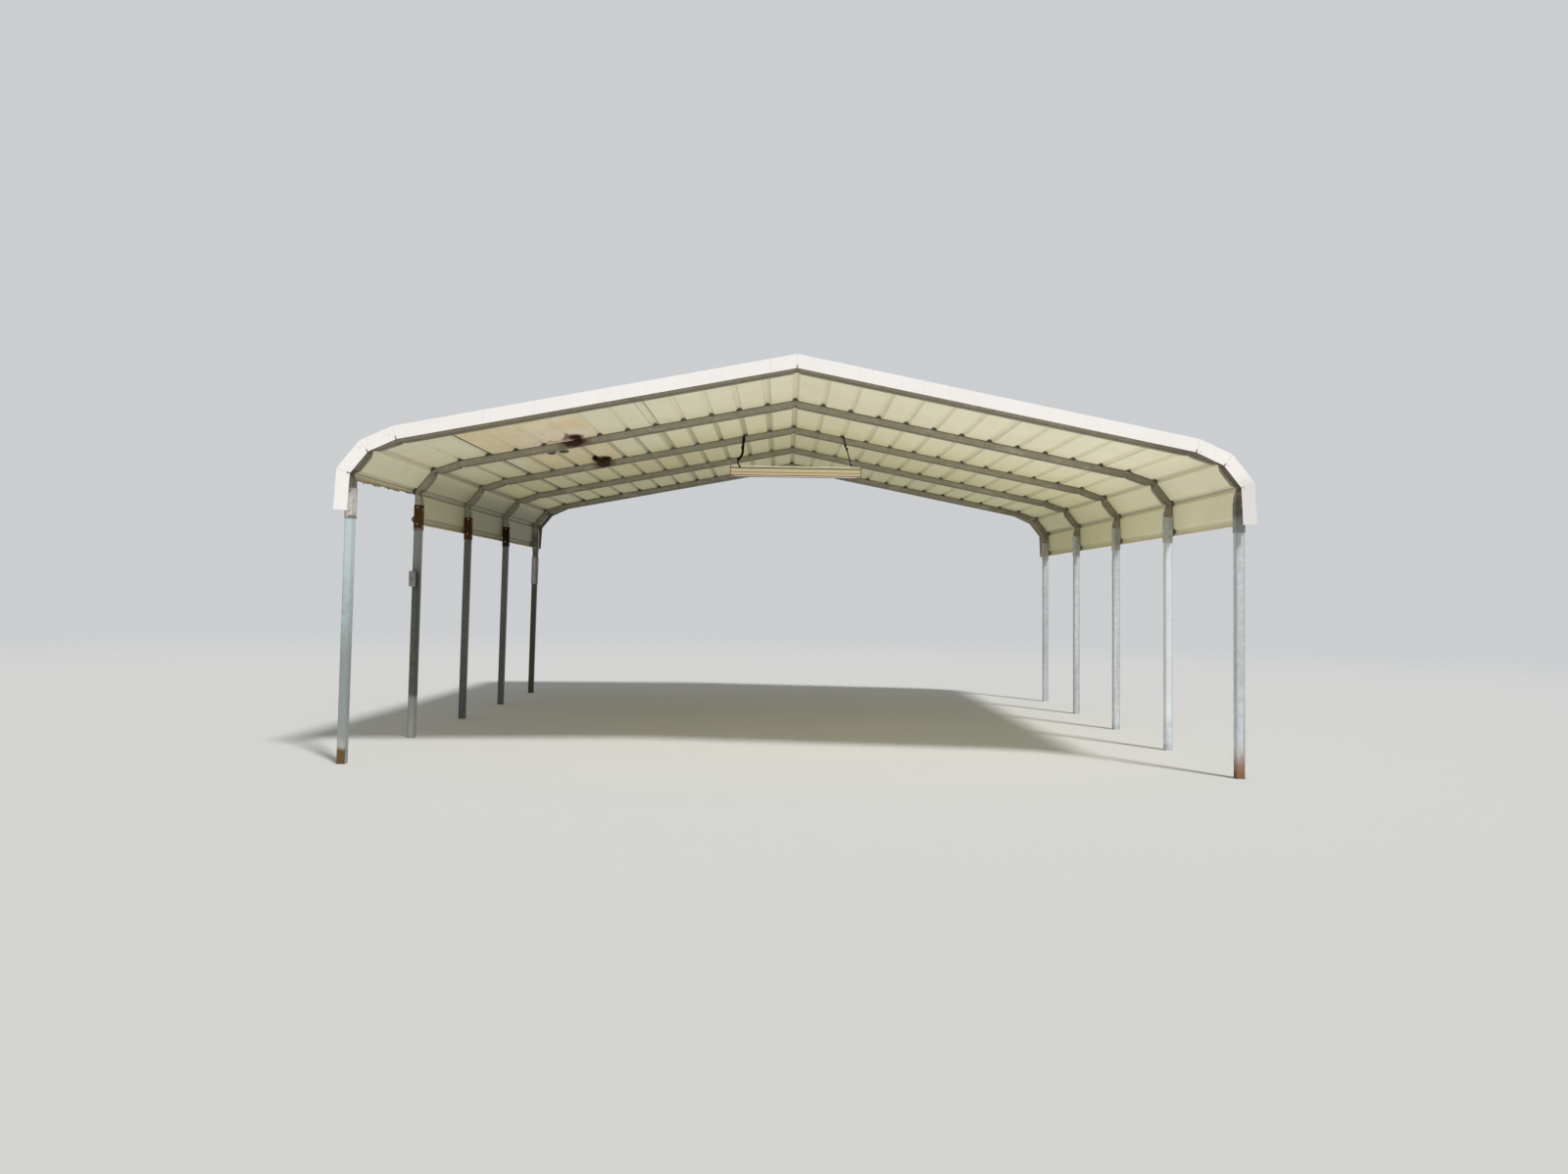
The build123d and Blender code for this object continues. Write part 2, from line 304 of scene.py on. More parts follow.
# Galvanised steel of posts, bows and sleeves
def makeZinc(name, look):
    finish = Finish(name, {"Specular IOR Level": 0.4})
    mottle = finish.grain(0.035, detail=2)
    streak = finish.grain(0.05, 3, 4, stretch=look.get("run", (1, 1, 0.06)))
    cells = finish.add("TexVoronoi", {}, {"Vector": finish.place(), "Scale": 1 / 0.011}, "Color")
    colour = finish.mix(mottle.ramp(0.3, 0.7), look["tone"], look["pale"]).coat(
        streak.ramp(0.45, 0.75) * look["streaks"], look["dark"],
        finish.grain(0.35, 7).ramp(0.5, 0.8) * look["clouds"], look["dirt"],
        finish.add("SeparateColor", {}, {0: cells}) * look["spangle"], look["dark"])
    height = finish.z + (streak - 0.5) * 0.1
    for low, high, share, tone, where in look.get("heights", []):
        colour = colour.coat(height.ramp(low, high) * share * where(finish), tone)
    if "edges" in look:
        inward = legOutside(0) - (finish.x.size() + finish.z * legSlope)
        edge = (1 - inward.between(0.007, 0.05, 0.004)) * finish.facing("Y").size()
        colour = colour.coat(edge * look["edges"], look["dark"])
    if "front" in look:
        colour = weatherBow(finish, look, colour, mottle)
    rust = finish.grain(0.018, 11, 6, 0.7).ramp(0.7, 0.76) * look["freckles"]
    for low, high, where in look.get("rustFeet", []):
        ragged = (finish.grain(0.03, 5, 5, stretch=(1, 1, 0.25)) - 0.5) * (0.9 * (high - low))
        rust = rust.most((finish.z + ragged).ramp(high, low) * where(finish))
    rustTone = finish.mix(finish.grain(0.012, detail=5), look["rust"], look["rustPale"])
    finish.bump(mottle * 0.4 + rust * finish.grain(0.004), 0.0012, 0.6)
    return finish.close(colour.coat(rust, rustTone), 0.42 + mottle * 0.18 + rust * 0.35,
                        Metallic=(1 - rust) * look["metal"])


# The front of a bow: painted light on its front face with painted glints, a painted shadow line under the sheet,
# painted shade along its lower edge and in the crimps at its bends, and stains
def weatherBow(finish, look, colour, mottle):
    ahead = finish.facing("Y").ramp(-0.4, -0.8)
    # painted light on the front face: brighter to the right, dimmer at the right eave, with painted glints
    paintedLight = finish.mix(finish.x.ramp(-1.5, 1.5), look["front"], look["frontRight"]).coat(
        finish.x.ramp(2.1, 2.75), look["frontEave"],
        finish.grain(0.022, 18, stretch=(0.12, 1, 0.5)).ramp(0.56, 0.7) * 0.6, look["glint"])
    rise = riseField(finish)
    # painted shadow where the sheet meets the top of the tube, and painted shade along its lower edge
    lines = (rise.ramp(-0.008, -0.003) * 0.8).most(rise.ramp(-0.046, -0.054) * 0.45)
    colour = colour.coat(ahead * (0.35 + mottle * 0.6), paintedLight, lines * ahead, look["line"])
    wave = (finish.grain(0.02, 15, 4) - 0.5) * 0.02
    # painted shade in the crimps at the bends
    for x, z, reach in look["crimps"]:
        apart = (finish.x.size() - x).length(finish.z - z)
        colour = colour.coat((apart + wave).ramp(reach, reach * 0.45) * 0.6, look["line"])
    for centre, reach in look["stains"]:
        blot = finish.near(centre, reach) + (finish.grain(0.04, 21, 4) - 0.5) * 0.9
        colour = colour.coat(blot.ramp(1.5, 1) * 0.8, look["stainRim"], blot.ramp(1, 0.6) * 0.92, look["stain"])
    return colour


# Heights are (none of it here, all of it here, share, tone, where else it depends on)
steelLook = {"rust": (0.13, 0.06, 0.035), "rustPale": (0.26, 0.14, 0.08), "metal": 0.3, "spangle": 0.2, "freckles": 0.8}
zincLooks = {"zinc_right": dict(
    tone=(0.48, 0.515, 0.53), pale=(0.6, 0.635, 0.65), dark=(0.3, 0.31, 0.31), dirt=(0.38, 0.37, 0.33),
    rust=(0.13, 0.062, 0.036), rustPale=(0.29, 0.16, 0.088),
    streaks=0.55, clouds=0.35, freckles=0.5, metal=0.35, spangle=0.12, edges=0.55,
    heights=[(0.2, 0.3, 0.55, (0.74, 0.78, 0.79), lambda f: f.y.between(-1.7, -1.3, 0.02))],
    rustFeet=[(0.05, 0.264, lambda f: f.y.ramp(-2.6, -2.9)),
              (0.3, 0.6, lambda f: f.y.ramp(-2.6, -2.9) * f.x.ramp(3.064, 3.072) * 0.6)])}
# The front left post: a bluer copy of the post paint, the blue being painted skylight; lighter and bluer towards the
# top, darker towards the bottom, paler and browner at the foot of its front face
zincLooks["zinc_leftFront"] = dict(
    zincLooks["zinc_right"],
    tone=(0.37, 0.45, 0.465), pale=(0.47, 0.55, 0.57), dark=(0.23, 0.25, 0.24), dirt=(0.28, 0.28, 0.25),
    rust=(0.055, 0.03, 0.01), rustPale=(0.185, 0.11, 0.04), streaks=0.5, clouds=0.4, edges=0.4,
    heights=[(1, 1.5, 0.85, (0.56, 0.67, 0.685), lambda f: 1),
             (0.95, 0.7, 0.8, (0.26, 0.285, 0.27), lambda f: 1),
             (0.19, 0.14, 0.6, (0.52, 0.47, 0.42), lambda f: f.facing("Y").ramp(-0.3, -0.8))],
    rustFeet=[(0.085, 0.122, lambda f: f.facing("Y").ramp(-0.3, -0.8) * 0.9 + 0.1)])
# The rear left posts: a darker copy of the post paint, as painted shade under the roof; lighter at the top of the
# second post, painted sunlight on its foot, bluer towards the bottom on the middle posts, deeper painted shade on the
# rear post
zincLooks["zinc_left"] = dict(
    zincLooks["zinc_leftFront"],
    tone=(0.108, 0.108, 0.088), pale=(0.155, 0.155, 0.135), dark=(0.05, 0.05, 0.04), dirt=(0.08, 0.077, 0.058),
    rust=(0.08, 0.04, 0.022), rustPale=(0.19, 0.11, 0.058), streaks=0.7, clouds=0.5, freckles=0.7, spangle=0.2,
    heights=[(1.2, 1.5, 0.8, (0.3, 0.305, 0.275), lambda f: f.y.ramp(-0.8, -1.3)),
             # painted sunlight on the foot of the second post
             (0.36, 0.31, 0.85, (0.4, 0.405, 0.385), lambda f: f.y.ramp(-1.2, -1.4)),
             (0.4, 0.1, 0.5, (0.125, 0.14, 0.165), lambda f: f.y.between(-0.6, 2.2, 0.2)),
             # deeper painted shade on the rear post
             (1.9, 0.9, 0.8, (0.062, 0.052, 0.026), lambda f: f.y.ramp(2.4, 2.9))],
    rustFeet=[])
zincLooks["zinc_bow"] = dict(
    steelLook,
    tone=(0.21, 0.19, 0.15), pale=(0.29, 0.27, 0.22), dark=(0.12, 0.105, 0.08), dirt=(0.16, 0.135, 0.095),
    streaks=0.6, clouds=0.6, freckles=0.6, run=(0.15, 1, 1),
    # front, frontRight and frontEave are painted light on the fronts of the bows, glint their painted glints, line
    # their painted shade at the edges and crimps
    front=(0.4, 0.385, 0.29), frontRight=(0.43, 0.395, 0.31), frontEave=(0.25, 0.225, 0.17), glint=(0.66, 0.64, 0.55),
    line=(0.045, 0.04, 0.028), stainRim=(0.22, 0.15, 0.115), stain=(0.04, 0.024, 0.014),
    crimps=[(2.682, 2.18, 0.02), (2.877, 2.122, 0.036), (2.996, 1.97, 0.038), (0, 2.712, 0.022)],
    stains=[((-1.785, -1.552, 2.405), (0.115, 0.07, 0.048)), ((-1.765, -0.029, 2.405), (0.085, 0.07, 0.055))])
sleeveLook = zincLooks["zinc_sleeve"] = dict(
    steelLook, streaks=0.8, clouds=0.5,
    tone=(0.42, 0.42, 0.39), pale=(0.54, 0.54, 0.5), dark=(0.2, 0.19, 0.16), dirt=(0.28, 0.26, 0.2))
zincLooks["sleeve_front"] = dict(
    sleeveLook, tone=(0.58, 0.555, 0.52), pale=(0.71, 0.68, 0.645), dark=(0.24, 0.22, 0.19), edges=0.4,
    heights=[(1.69, 1.684, 0.75, (0.09, 0.08, 0.06), lambda f: 1)])
# A darker copy of the sleeve paint as painted shade, with painted sunlight on the lower part of the right front sleeve
zincLooks["sleeve_shaded"] = dict(
    sleeveLook, tone=(0.155, 0.15, 0.125), pale=(0.22, 0.215, 0.19), dark=(0.06, 0.055, 0.042), dirt=(0.1, 0.09, 0.07),
    heights=[(1.8, 1.755, 0.75, (0.33, 0.345, 0.345), lambda f: f.x.ramp(-1, 1))])
zincLooks["sleeve_low"] = dict(
    sleeveLook, edges=0.6,
    tone=(0.34, 0.32, 0.3), pale=(0.43, 0.41, 0.39), dark=(0.09, 0.085, 0.07), dirt=(0.2, 0.185, 0.15))


def makeRustedSleeve():
    finish = Finish("rusted_sleeve", {"Specular IOR Level": 0.12})
    runs = finish.grain(0.016, detail=4, stretch=(1, 1, 0.05))
    scale = finish.grain(0.009, 4, 6, 0.7)
    rim = (finish.z + (scale - 0.5) * 0.012).ramp(1.697, 1.687) * finish.y.ramp(-1.2, -1.5)
    finish.bump(scale + runs * 0.5, 0.0015, 0.8)
    return finish.close(finish.mix(runs.ramp(0.3, 0.7), (0.024, 0.012, 0.003), (0.095, 0.046, 0.014)).coat(
        scale.ramp(0.6, 0.72) * 0.7, (0.19, 0.088, 0.045),
        finish.y.ramp(-1.2, 1.4) * 0.7, (0.012, 0.006, 0.003),
        finish.y.between(-0.5, 0.5, 0.1) * 0.35, (0.1, 0.036, 0.01),
        rim * 0.85, (0.22, 0.16, 0.13)), 0.7 + scale * 0.25)


# Paint of the roof sheets: pale outside, beige below, with stains under the leaks, painted light and shade in the ribs
# and painted shade under the eaves
roofPaint = {
    "under": (0.86, 0.82, 0.6), "underDull": (0.77, 0.73, 0.53), "underRear": (0.82, 0.78, 0.44),
    "underSpeck": (0.5, 0.46, 0.34),
    "outside": (0.78, 0.78, 0.74), "outsideDirt": (0.42, 0.41, 0.34),
    "outsideCloud": (0.55, 0.56, 0.48), "outsideSpeck": (0.3, 0.27, 0.2),
    "tan": (0.8, 0.6, 0.33),
    "flake": (0.88, 0.79, 0.68), "flakeDark": (0.4, 0.38, 0.29),
    "rust": (0.13, 0.05, 0.025),
    # tone of the painted shade in the ribs and of the dirt along the laps
    "shadeAndGrime": (0.075, 0.07, 0.05),
    "hollow": 0.26,  # painted shade in the ribs on the left
    # painted light in the ribs of the front bay and the right half
    "hollowTone": (0.95, 0.91, 0.68), "hollowPale": 0.2,
    "shade": (0.27, 0.265, 0.175),  # painted shade under the left eave, deeper towards the rear
    # painted shade under the right eave
    "rightEaveShade": (0.5, 0.47, 0.33),
    "edge": (0.6, 0.44, 0.34), "torn": (0.34, 0.22, 0.155),
    "folds": [(13, 0.25), (14, 0.65)],  # bends with painted shade in their hollow
    "laps": [(-11, 1, 1, 0.009), (-5, 1, 0.6, 0.005), (-5, -1, 0.4, 0.004), (-1, 1, 0.45, 0.004),
             (3, 1, 0.35, 0.004), (7, 1, 0.45, 0.004), (11, 1, 0.55, 0.004)],  # rib, side, share, half width of dark lines along the lapped edges: partly dirt, partly painted shade in the gap
    "lapFoot": 0.031,
    "spots": [((-2.045, -1.065, 2.37), 0.04), ((-1.953, -1.035, 2.387), 0.042)],
    "spotTone": (0.05, 0.036, 0.011),
    "leaks": [((-1.755, -1.7, 2.43), (0.085, 0.16, 1)), ((-1.755, -0.22, 2.43), (0.085, 0.2, 1))],
}


# Painted shade in the hollows of the ribs, deepest on the left, at two bends and just behind each bow, painted light in
# the ribs of the front bay and the right half, and dark lines along the lapped edges, partly dirt and partly painted
# shade
def shadeAndGrimeInHollows(finish, look):
    x, y, z = finish.x, finish.y, finish.z
    rise = riseField(finish)
    hollow = rise.ramp(0.002, 0.01)
    plain = x.ramp(-0.4, 0.4).most(y.ramp(-1.3, -1.7))
    # painted light in the ribs of the front bay and the right half
    pale = hollow * plain * look["hollowPale"]
    hollow = hollow * ((1 - plain) * look["hollow"] + 0.09)
    # painted shade in the hollows at the bends
    for bend, share in look["folds"]:
        fold = roofPlace(bend * roof["ribPitch"], 0.01, 0)[0]
        hollow = hollow.most(((x.size() - fold.x).size() + (z - fold.z).size()).ramp(0.018, 0.008) * share)
    # painted shade in the ribs just behind each bow
    for bowY in roof["bows"]:
        hollow = hollow.most(y.between(bowY - 0.03, bowY + 0.17, 0.02) * rise.ramp(0.001, 0.004))
    # dark lines along the lapped edges: partly dirt, partly painted shade in the gap
    for rib, edge, share, half in look["laps"]:
        middle = rib * roof["ribPitch"] * cos(roof["falls"][0]) + edge * look["lapFoot"]
        hollow = hollow.most(x.between(middle - half, middle + half, 0.003) * share)
    return pale, hollow


def makeRoofPaint(look):
    finish = Finish("roof_sheet", {"Specular IOR Level": 0.45})
    x, y, z = finish.x, finish.y, finish.z
    cloud = finish.grain(0.45, detail=4)
    speck = finish.grain(0.02, 2, 5, 0.65)
    wobble = (finish.grain(0.3, 9, 4) - 0.5) * 1.3
    tanned = (x + wobble * 0.02).between(-2.468, -1.575, 0.035) * (y + wobble * 0.25).ramp(-1.2, -1.75) * 0.9
    behind = (x + wobble * 0.05).between(-2.3, -1.575, 0.05) * (y + wobble * 0.4).between(-1.45, 0, 0.25)
    tanned = tanned.most(behind * 0.75)
    tanned = tanned.most((finish.near((-1.25, 0.75, 2.5), (0.55, 0.75, 1)) + wobble).ramp(1, 0.5) * 0.45)
    flaky = (finish.near((-1.87, -1.85, 2.42), (0.32, 0.55, 1)) + wobble * 0.7).ramp(1.1, 0.6)
    chips = finish.grain(0.06, 13, 6, 0.7, (1, 0.4, 1))
    ragged = (finish.grain(0.035, 17, 4) - 0.5) * 1.2
    leak = spot = z * 0
    for centre, reach in look["leaks"]:
        leak = leak.most((finish.near(centre, reach) + ragged).ramp(1.1, 0.7) * 0.85)
    for centre, reach in look["spots"]:
        spot = spot.most((finish.near(centre, (reach, reach * 2.4, 1)) + ragged * 0.4).ramp(1.15, 0.8) * 0.95)
    pale, hollow = shadeAndGrimeInHollows(finish, look)
    leftEave = x.ramp(-2.8, -3.02)
    under = finish.mix(cloud.ramp(0.35, 0.75) * 0.7, look["under"], look["underDull"]).coat(
        y.ramp(-2.2, 1) * 0.85, look["underRear"],
        speck.ramp(0.62, 0.72) * 0.2, look["underSpeck"],
        tanned * wobble.ramp(-0.5, 0.25) * 0.75, look["tan"],
        flaky * chips.ramp(0.4, 0.54) * 0.6, look["flake"],
        flaky * chips.ramp(0.6, 0.63) * 0.6, look["flakeDark"],
        # painted light and shade in the ribs, with dirt along the laps
        leak, look["rust"], spot, look["spotTone"], pale, look["hollowTone"], hollow, look["shadeAndGrime"],
        # painted shade under the left eave, deeper towards the rear
        leftEave * y.ramp(-1.62, -1.45) * (0.64 + y.ramp(-1.2, 1.2) * 0.32), look["shade"],
        leftEave * y.ramp(-1.4, -1.6) * 0.16, look["shade"],
        # painted shade under the right eave
        x.ramp(2.66, 2.95) * 0.28, look["rightEaveShade"],
        (z + (speck - 0.5) * 0.01).ramp(1.742, 1.734) * 0.7, look["edge"])
    runs = finish.grain(0.09, 6, 4, stretch=(0.1, 1, 0.1))
    over = finish.mix(runs.ramp(0.42, 0.78) * 0.65, look["outside"], look["outsideDirt"]).coat(
        cloud.ramp(0.45, 0.8) * 0.3, look["outsideCloud"],
        speck.ramp(0.66, 0.72) * 0.5, look["outsideSpeck"])
    lean = x.size().ramp(2.85, 3.08) * 0.75 + 0.25
    outness = finish.facing("X") * x.sum("SIGN", x) * lean + finish.facing("Z") * (1 - lean)
    torn = (z + (speck - 0.5) * 0.05).ramp(1.985, 1.955) * x.ramp(-3, -3.03) * y.ramp(-1.5, -1.56)
    finish.bump(cloud * 2 + speck * 0.15 + flaky * chips * 0.6, 0.0015)
    return finish.close(under.coat(outness.ramp(-0.02, 0.02), over, torn * 0.8, look["torn"]),
                        0.45 + cloud * 0.2 + (tanned + torn) * 0.15 + leak.most(spot) * 0.45)


trimPaint = {
    "paint": (0.875, 0.845, 0.82),
    "dull": (0.81, 0.77, 0.74),
    "dirt": (0.5, 0.44, 0.36),
    "pleat": (0.1, 0.085, 0.065),
    # where each crease meets the lower edge, and the lean of the trim there
    "creases": [(0, 2.718, 0), (2.678, 2.197, 15), (2.866, 2.108, 35.1), (2.983, 1.963, 68.9)],
    # painted shade on the right legs of the trims, standing in for the outward flare of the front one
    "flare": (0.6, 0.575, 0.55),
    # the back of the rear trim, seen through the bay, in painted shade: dark on the left and at the peak, lighter on
    # the right
    "insideLeft": (0.16, 0.15, 0.11),
    "insideRight": (0.47, 0.38, 0.29),
    "insidePeak": (0.11, 0.09, 0.04),
}


def makeTrimPaint(look):
    finish = Finish("white_trim", {"Specular IOR Level": 0.45})
    x, z = finish.x.size(), finish.z
    cloud = finish.grain(0.5)
    speck = finish.grain(0.012, 4, 5, 0.7)
    colour = finish.mix(cloud.ramp(0.4, 0.75) * 0.6, look["paint"], look["dull"]).coat(
        finish.grain(0.04, 8, 4, stretch=(1, 1, 0.12)).ramp(0.55, 0.8) * 0.22, look["dirt"],
        speck.ramp(0.68, 0.74) * 0.5, look["dirt"])
    # a faint darker line along each crease and a dark mark at its foot
    for creaseX, creaseZ, lean in look["creases"]:
        sine, cosine = sin(radians(lean)), cos(radians(lean))
        across = ((x - creaseX) * cosine - (z - creaseZ) * sine).size()
        up = (x - creaseX) * sine + (z - creaseZ) * cosine
        colour = colour.coat(
            across.ramp(0.004, 0.001) * up.between(-0.01, 0.11, 0.004) * 0.35, look["dirt"],
            across.ramp(0.006, 0.003) * up.between(-0.01, 0.02, 0.003) * 0.9, look["pleat"])
    # painted shade on the back of the rear trim
    behind = finish.y.ramp(3, 3.1) * finish.facing("Y").ramp(-0.3, -0.8) * riseField(finish).ramp(0.01, 0.002)
    inside = finish.mix(finish.x.ramp(-0.4, 0.4), look["insideLeft"], look["insideRight"])
    finish.bump(cloud * 3 + speck * 0.1, 0.0012)
    return finish.close(colour.coat(
        # painted shade on the right legs
        finish.x.ramp(2.93, 3) * z.ramp(2.08, 1.96) * 0.6, look["flare"],
        # painted shade on the back of the rear trim
        behind, inside.coat(x.ramp(1.1, 0.7), look["insidePeak"])), 0.38 + cloud * 0.2)


# Bands of yellowed enamel and of dust, from the lips of the light up to its lid, darker at the lips, with painted shade
# in the groove under the channel and at the bend above the lip
lightBands = {
    "bottom": 2.308,
    "height": 0.095,
    # the dark bands from 0.32 to 0.37 and from 0.75 to 0.83 of the height are painted shade, at the bend above the lip
    # and in the groove under the channel
    "tones": [(0, (0.22, 0.13, 0.08)), (0.07, (0.26, 0.16, 0.1)), (0.12, (1, 0.76, 0.52)),
              (0.27, (1, 0.82, 0.57)), (0.32, (0.5, 0.33, 0.24)), (0.37, (0.55, 0.38, 0.27)),
              (0.42, (1, 0.95, 0.74)), (0.56, (1, 0.95, 0.74)), (0.62, (0.9, 0.8, 0.6)),
              (0.72, (0.88, 0.78, 0.58)), (0.75, (0.06, 0.04, 0.03)), (0.83, (0.06, 0.04, 0.03)),
              (0.86, (1, 0.94, 0.76)), (0.97, (1, 0.94, 0.76)), (1, (0.6, 0.52, 0.4))],
    "cloud": (0.74, 0.64, 0.48),
    "speck": (0.35, 0.26, 0.17),
    "middle": 0.024,
    "ends": 0.604,  # half way along, where the ends are dark
    "endTone": (0.16, 0.1, 0.06),
}


def makeLightEnamel(look):
    finish = Finish("light_enamel", {"Specular IOR Level": 0.5})
    cloud = finish.grain(0.12)
    speck = finish.grain(0.008, 4, 5, 0.7)
    up = (finish.z + (cloud - 0.5) * 0.002 - look["bottom"]) * (1 / look["height"])
    along = (finish.x - look["middle"]).size()
    finish.bump(cloud + speck * 0.3, 0.0008)
    return finish.close(finish.add("ValToRGB", {"stops": look["tones"]}, {0: up}).coat(
        cloud.ramp(0.4, 0.7) * 0.12, look["cloud"],
        along.ramp(look["ends"] - 0.006, look["ends"]) * 0.75, look["endTone"],
        speck.ramp(0.6, 0.7) * 0.2, look["speck"]), 0.35 + cloud * 0.2)


def makePlain(name, tone, worn, roughness, size, gloss=0.5, metal=0):
    finish = Finish(name, {"Metallic": metal, "Specular IOR Level": gloss})
    cloud = finish.grain(size * 4)
    speck = finish.grain(size * 0.5, 4, 5, 0.7)
    half = tuple(0.5 * (a + b) for a, b in zip(tone, worn))
    finish.bump(cloud + speck * 0.4, size * 0.03)
    return finish.close(finish.mix(cloud.ramp(0.4, 0.75), tone, half).coat(speck.ramp(0.6, 0.7) * 0.6, worn),
                        roughness + (cloud - 0.5) * 0.2)


# Tone, worn tone, roughness, size of the grain, gloss, metal
plainPaints = {
    "lamp_glass": ((0.88, 0.88, 0.84), (0.55, 0.53, 0.48), 0.2, 0.02),
    "cord": ((0.006, 0.0055, 0.005), (0.022, 0.02, 0.016), 0.92, 0.004, 0.1),
    "screwZinc": ((0.42, 0.42, 0.4), (0.2, 0.11, 0.06), 0.45, 0.004, 0.5, 0.6),
    "screwPaint": ((0.6, 0.58, 0.53), (0.2, 0.12, 0.08), 0.5, 0.004),
    "rubber": ((0.04, 0.04, 0.038), (0.09, 0.085, 0.08), 0.8, 0.003),
    "mud": ((0.038, 0.024, 0.008), (0.1, 0.065, 0.028), 0.95, 0.008, 0.1),
    "redMud": ((0.06, 0.024, 0.012), (0.2, 0.088, 0.05), 0.95, 0.008, 0.1),
    "straw": ((0.09, 0.042, 0.02), (0.22, 0.12, 0.06), 0.85, 0.006, 0.1),
    "flap": ((0.86, 0.66, 0.54), (0.4, 0.26, 0.18), 0.7, 0.02),
    "outlet": ((0.16, 0.165, 0.165), (0.09, 0.09, 0.085), 0.55, 0.012),
    "outletPale": ((0.28, 0.29, 0.3), (0.17, 0.175, 0.175), 0.5, 0.012),
    "holder": ((0.8, 0.79, 0.74), (0.5, 0.48, 0.42), 0.4, 0.006),
    "tornEdge": ((0.22, 0.14, 0.1), (0.5, 0.42, 0.34), 0.85, 0.01),
}
paints = {name: makeZinc(name, look) for name, look in zincLooks.items()}
paints["rusted_sleeve"] = makeRustedSleeve()
paints["roof_sheet"] = makeRoofPaint(roofPaint)
paints["white_trim"] = makeTrimPaint(trimPaint)
paints["light_enamel"] = makeLightEnamel(lightBands)
paints.update((name, makePlain(name, *look)) for name, look in plainPaints.items())
print("paints mixed")


# Finishes of the frame's own nodes, by how their names begin, and the rounded edges of its tubes
dressing = {
    "paints": {
        "post_right": "zinc_right", "post_left": "zinc_left", "post_left_1": "zinc_leftFront", "bow": "zinc_bow",
        "sleeve": "zinc_sleeve", "sleeve_left_1": "sleeve_front", "sleeve_left_2": "rusted_sleeve",
        "sleeve_left_3": "rusted_sleeve", "sleeve_left_4": "rusted_sleeve", "sleeve_left_5": "sleeve_shaded",
        "sleeve_right_1": "sleeve_shaded", "roof": "roof_sheet", "trim": "white_trim", "light": "light_enamel",
        "lamp": "lamp_glass", "hanger": "cord", "outlet": "outlet",
    },
    "rounded": ("post", "bow", "sleeve"),
    "steps": [
        ("joined", "WELD", {"merge_threshold": 0.00001}),  # the frame's faces don't share their corners
        ("rounding", "BEVEL", {"width": 0.0009, "segments": 2, "limit_method": "ANGLE", "angle_limit": radians(40)}),
        ("shading", "WEIGHTED_NORMAL", {"weight": 90}),
    ],
}
for name, node in nodes.items():
    start = max((start for start in dressing["paints"] if name.startswith(start)), key=len)
    node.data.materials.clear()
    node.data.materials.append(paints[dressing["paints"][start]])
    if name.startswith(dressing["rounded"]):
        for step, kind, settings in dressing["steps"]:
            tune(node.modifiers.new(step, kind), **settings)
print("frame dressed")


# Pieces
def asMesh(name, mesh):
    made = bpy.data.meshes.new(name)
    mesh.to_mesh(made)
    mesh.free()
    return made


def addPiece(name, mesh, slotName, *paintNames, smooth=None):
    mesh = asMesh(name, mesh)
    piece = putObject(name, mesh)
    for paintName in paintNames:
        mesh.materials.append(paints[paintName])
    if smooth is not None:
        mesh.shade_smooth()
        mesh.set_sharp_from_angle(angle=radians(smooth))
    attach(piece, "root")
    return piece


def thicken(piece, thickness):
    tune(piece.modifiers.new("thickness", "SOLIDIFY"), thickness=thickness, offset=0)


def skin(mesh, rows, closed=False, paint=0):  # faces from each row of corners to the next
    for row, following in zip(rows, rows[1:]):
        if closed:
            row, following = row + row[:1], following + following[:1]
        for corners in zip(row, row[1:], following[1:], following):
            mesh.faces.new(corners).material_index = paint


def bevel(mesh, edges, offset, segments, paint):
    made = bmesh.ops.bevel(mesh, geom=edges, offset=offset, segments=segments, affect="EDGES", profile=0.5)
    for face in made["faces"]:
        face.material_index = paint


def standing(place, out, spin=0, squash=(1, 1, 1)):
    up = Vector(out).to_track_quat("Z", "Y").to_matrix().to_4x4()
    return Matrix.Translation(place) @ up @ Matrix.Rotation(spin, 4, "Z") @ Matrix.Diagonal((*squash, 1))


# Washer, flange and head: radius, taper, bottom, top, sides, paint, rounding of the top
screwDiscs = [
    (0.0072, 0.93, -0.0006, 0.0018, 16, 1, 0.0005),
    (0.0062, 0.96, 0.0016, 0.0027, 16, 0, 0.0003),
    (0.0046, 1, 0.0025, 0.0065, 6, 0, 0.0006),
]


def makeScrew():
    mesh = bmesh.new()
    for radius, taper, low, high, sides, paint, rounding in screwDiscs:
        cone = bmesh.ops.create_cone(mesh, cap_ends=True, segments=sides, radius1=radius, radius2=radius * taper,
                                     depth=high - low, matrix=Matrix.Translation((0, 0, (low + high) / 2)))
        for face in {face for vert in cone["verts"] for face in vert.link_faces}:
            face.material_index = paint
        edges = {edge for vert in cone["verts"] for edge in vert.link_edges}
        rim = [edge for edge in edges if all(vert.co.z > high - 1e-6 for vert in edge.verts)]
        bevel(mesh, rim, rounding, 2, paint)
    return asMesh("screw", mesh)


def scatter(name, shape, places, slotName, *paintNames):
    mesh = bmesh.new()
    for place in places:
        start = len(mesh.verts)
        mesh.from_mesh(shape)
        mesh.verts.ensure_lookup_table()
        bmesh.ops.transform(mesh, matrix=place, verts=mesh.verts[start:])
    addPiece(name, mesh, slotName, *paintNames, smooth=35)


def drive(name, turn, spots, slotName, *paintNames, squash=(1, 1, 1)):
    places = [standing(place, out, turn.uniform(0, 3), squash) for place, out in spots]
    scatter(name, screw, places, slotName, *paintNames)


